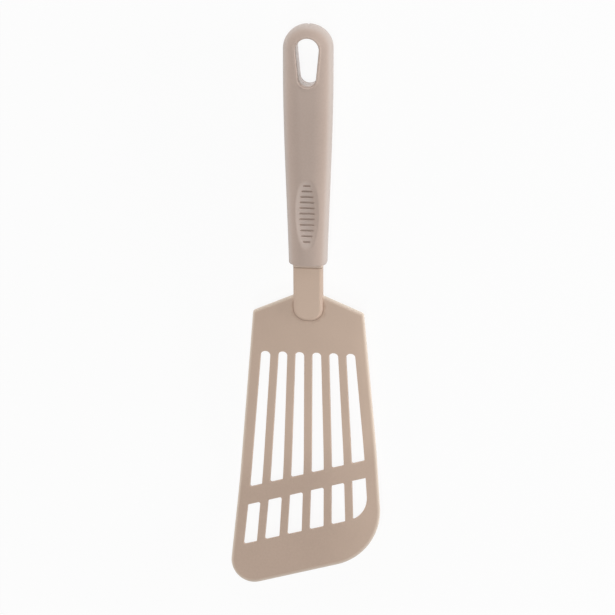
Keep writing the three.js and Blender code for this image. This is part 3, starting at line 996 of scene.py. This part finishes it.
def footLine(grow):
    corner = neckSet["corner"]
    radius = corner + grow
    middle = neckSet["width"] / 2 - corner
    low = corner - neckSet["reach"]
    right = [(middle + radius, low + (-neckSet["lineFrom"] - low) * i / 9) for i in range(9, 0, -1)]
    for i in range(19):
        angle = math.pi / 2 * i / 18
        right.append((middle + radius * math.cos(angle), low - radius * math.sin(angle)))
    return right + [(-x, y) for x, y in reversed(right)]


def topHeight(x, y):
    # the blade's flat top with the fine line pressed in round the foot; the line also loses the
    # blade's paler tone, as painted shade in the crease
    gap = footGap(x, y)
    start = neckSet["lineFrom"]
    line = (1 - smoothStep(0.28, 0.5, gap)) * smoothStep(start, start + 2, -y)
    line *= gap > -0.3
    # negative paleness: painted shade in the line round the foot
    return bladeSet["thickness"] / 2 - neckSet["lineDepth"] * line, -2 * line


def paintedLightShare(x, y):
    # painted light and shade: the bent front section keeps the deeper tone as painted shade, the rest
    # is painted paler, more so to the right and on the right rail
    front = smoothStep(*paintedLightSet["bend"], slantReach(x, y))
    rest = paintedLightSet["rest"] + paintedLightSet["lean"] * x + paintedLightSet["rail"] * smoothStep(22, 34, x)
    return (1 - front) * rest + front * paintedLightSet["tip"] * smoothStep(0, 36, x)


def addBlade(build):
    half = bladeSet["thickness"] / 2
    # the outer and slot edges are paler, as rubbing and as painted highlight
    edge = edgeProfile(half, bladeSet["edgeRise"], bladeSet["edgeInset"], bladeSet["edgeSteps"], 0.5)
    lip = edgeProfile(half, bladeSet["slotRound"], bladeSet["slotRound"], 3, 0.5)
    outer = ringStack(build, bladeLoop(), edge, False)
    # painted sheen on the blade's outer edge
    for ring, (inset, _, _) in zip(outer, edge):
        for vert in ring:
            vert[build.paintedSheen] = bladeSet["paintedSheen"] * (1 - smoothStep(0, bladeSet["edgeInset"], inset))
    slots = [ringStack(build, loop, lip, True) for loop in slotLoops()]
    outline = [tuple(vert.co[:2]) for vert in outer[0]]
    holes = [[tuple(vert.co[:2]) for vert in stack[0]] for stack in slots]
    inner = []
    for i in range(-20, 20):
        for k in range(6, 84):
            x, y = i * 2.3 + 1.15 * (k % 2), -k * 2.2
            if not all(insideLoop(*spot, outline) for spot in around(x, y, 1)):
                continue
            if any(insideLoop(x + dx, y, hole) for hole in holes for dx in (-0.7, 0, 0.7)):
                continue
            inner.append((x, y))
    stacks = [outer] + slots
    footLines = [footLine(grow) for grow in (-0.15, 0.05, 0.3, 0.5)]
    offFoot = [point for point in inner if abs(footGap(*point)) > 0.9]
    build.fill([stack[0] for stack in stacks], offFoot, topHeight, lines=footLines)
    build.fill([stack[-1] for stack in stacks], inner, lambda x, y: (-half, 0.0), flip=True)
    # painted light and shade over the whole head
    for vert in build.mesh.verts:
        vert[build.wearAndPaintedLight] += paintedLightShare(vert.co.x, vert.co.y)


def addNeck(build):
    wide, reach, corner = neckSet["width"] / 2, neckSet["reach"], neckSet["corner"]
    start = neckSet["start"]
    path = [(wide, -start - (reach - corner - start) * i / 30, 1, 0) for i in range(30)]
    for i in range(19):
        angle = math.pi / 2 * i / 18
        nx, ny = math.cos(angle), -math.sin(angle)
        path.append((wide - corner + corner * nx, -reach + corner + corner * ny, nx, ny))
    path += [(-x, y, -nx, ny) for x, y, nx, ny in reversed(path)]
    half, edge = neckSet["thickness"] / 2, neckSet["edge"]
    heights = [0.2, 0.9]
    for degrees in (15, 24, 33, 45, 57, 68, 78, 86, 90):
        heights.append(half - edge + edge * math.sin(math.radians(degrees)))
    profile = []
    for z in heights:
        lean = max(0, (z - half + edge) / edge)
        inset = edge * (1 - math.sqrt(max(1 - lean * lean, 0)))
        # painted light on the neck's top face
        pale = neckSet["pale"] * smoothStep(half - edge * 0.3, half - edge * 0.01, z)
        profile.append((inset, z, pale))
    profile.append((edge + 0.3, half, neckSet["pale"]))
    profile = [(inset, -z, wearAndPaintedLight) for inset, z, wearAndPaintedLight in reversed(profile)] + profile
    rows = []
    for inset, z, wearAndPaintedLight in profile:
        rows.append([build.vert(x - nx * inset, y - ny * inset, z, wearAndPaintedLight) for x, y, nx, ny in path])
    for low, high in zip(rows, rows[1:]):
        build.strip(low, high, closed=False)
    build.mesh.faces.new(rows[-1])
    build.mesh.faces.new(rows[0][::-1])
    build.mesh.faces.new([row[0] for row in rows] + [row[-1] for row in reversed(rows)])


def buildHead():
    build = Builder()
    addBlade(build)
    addNeck(build)
    crank = math.pi / 2
    for vert in build.mesh.verts:
        vert.co = bendPoint(vert.co)
        far = math.hypot(vert.co.y, vert.co.z)
        if -vert.co.y > neckSet["reach"]:
            crank = min(crank, math.asin(midHeight / far) + math.atan2(vert.co.z, -vert.co.y))
    turn = Matrix.Rotation(crank, 3, "X")  # brings the bend down to the table
    print("head cranked by", round(math.degrees(crank), 2), "degrees")
    shift = Vector((0, mouthY, midHeight))
    return build.finish("bladeHead", lambda at: turn @ at + shift, headNylon, "blade_head")


bladeHead = buildHead()


# floor, light and camera

studioSet = {
    "floorSize": 6.0,
    "floorTone": (0.92, 0.92, 0.92, 1),
    "floorGlow": 0.89,  # how much of the floor's white the camera sees without shade
    "tableGlow": 0.7,  # the same for the light it throws up
    "worldTone": (1.0, 1.0, 1.0, 1),
    "worldLight": 0.25,
}
lampSet = {  # softboxes round the table: place, width, height, power
    "rightStrip": ((1.0, -0.09, 0.12), 0.9, 0.18, 8.0),
    "leftStrip": ((-1.0, -0.09, 0.12), 0.9, 0.18, 3.6),
    "backStrip": ((0.0, 1.0, 0.14), 0.9, 0.22, 5.2),
    "backBox": ((0.0, 0.9, 0.50), 0.9, 0.50, 1.6),
    "frontBox": ((0.0, -1.0, 0.95), 0.9, 0.60, 3.6),
    "topBox": ((0.0, -0.05, 1.60), 0.6, 0.60, 6.5),
}
cameraSet = {
    "azimuth": math.radians(6.5),
    "lean": math.radians(16.5),
    "distance": 1.400,
    "aim": (-0.0004, -0.08978, 0.0075),
    "lens": 151.76,
}


def seenRays(tree):
    # 1 for what the camera sees, straight or in a reflection
    rays = node(tree, "ShaderNodeLightPath", (-900, 300))
    last = rays.outputs["Is Camera Ray"]
    for kind in ("Is Glossy Ray", "Is Transmission Ray"):
        both = node(tree, "ShaderNodeMath", (-700, 300))
        both.operation = "MAXIMUM"
        tree.links.new(last, both.inputs[0])
        tree.links.new(rays.outputs[kind], both.inputs[1])
        last = both.outputs["Value"]
    return last


def buildFloor():
    data = bpy.data.meshes.new("studioFloor")
    half = studioSet["floorSize"] / 2
    corners = [(-half, -half, 0), (half, -half, 0), (half, half, 0), (-half, half, 0)]
    data.from_pydata(corners, [], [(0, 1, 2, 3)])
    floor = bpy.data.objects.new("studioFloor", data)
    floor.location.z = -0.0002
    bpy.context.collection.objects.link(floor)
    material = bpy.data.materials.new("studioWhite")
    material.use_nodes = True
    tree = material.node_tree
    link = tree.links.new
    tree.nodes.remove(tree.nodes["Principled BSDF"])
    paint = node(tree, "ShaderNodeBsdfDiffuse", (-300, 0), Color=studioSet["floorTone"])
    glow = node(tree, "ShaderNodeEmission", (-300, -200), Strength=1.0)
    share = node(tree, "ShaderNodeMapRange", (-450, 300))
    share.inputs["To Min"].default_value = studioSet["tableGlow"]
    share.inputs["To Max"].default_value = studioSet["floorGlow"]
    link(seenRays(tree), share.inputs["Value"])
    mix = node(tree, "ShaderNodeMixShader", (-50, 0))
    link(share.outputs["Result"], mix.inputs["Fac"])
    link(paint.outputs["BSDF"], mix.inputs[1])
    link(glow.outputs["Emission"], mix.inputs[2])
    link(mix.outputs["Shader"], tree.nodes["Material Output"].inputs["Surface"])
    data.materials.append(material)


def buildWorld():
    world = bpy.data.worlds.new("studioWorld")
    bpy.context.scene.world = world
    world.use_nodes = True
    tree = world.node_tree
    link = tree.links.new
    sky = tree.nodes["Background"]
    sky.inputs["Color"].default_value = studioSet["worldTone"]
    seen = seenRays(tree)
    level = node(tree, "ShaderNodeMapRange", (-400, 200))
    level.inputs["To Min"].default_value = studioSet["worldLight"]
    level.inputs["To Max"].default_value = 1.0
    link(seen, level.inputs["Value"])
    link(level.outputs["Result"], sky.inputs["Strength"])


def buildLamps():
    for name, (place, width, height, power) in lampSet.items():
        lamp = bpy.data.lights.new(name, "AREA")
        lamp.shape = "RECTANGLE"
        lamp.size, lamp.size_y = width, height
        lamp.energy = power
        holder = bpy.data.objects.new(name, lamp)
        holder.location = place
        holder.rotation_mode = "QUATERNION"
        aim = Vector((0, cameraSet["aim"][1], 0))
        holder.rotation_quaternion = (aim - Vector(place)).to_track_quat("-Z", "Y")
        bpy.context.collection.objects.link(holder)


def buildCamera():
    lens = bpy.data.cameras.new("photoCamera")
    lens.lens = cameraSet["lens"]
    lens.sensor_width = 36.0
    camera = bpy.data.objects.new("photoCamera", lens)
    azimuth, lean = cameraSet["azimuth"], cameraSet["lean"]
    right = Vector((math.cos(azimuth), 0, -math.sin(azimuth)))
    flat = math.cos(lean)
    back = Vector((math.sin(azimuth) * flat, math.sin(lean), math.cos(azimuth) * flat))
    up = back.cross(right)
    place = Vector(cameraSet["aim"]) + back * cameraSet["distance"]
    camera.matrix_world = Matrix((right, up, back)).transposed().to_4x4()
    camera.location = place
    bpy.context.collection.objects.link(camera)
    bpy.context.scene.camera = camera


buildFloor()
buildWorld()
buildLamps()
buildCamera()
bpy.context.scene.view_settings.view_transform = "Standard"
print("studio set up")
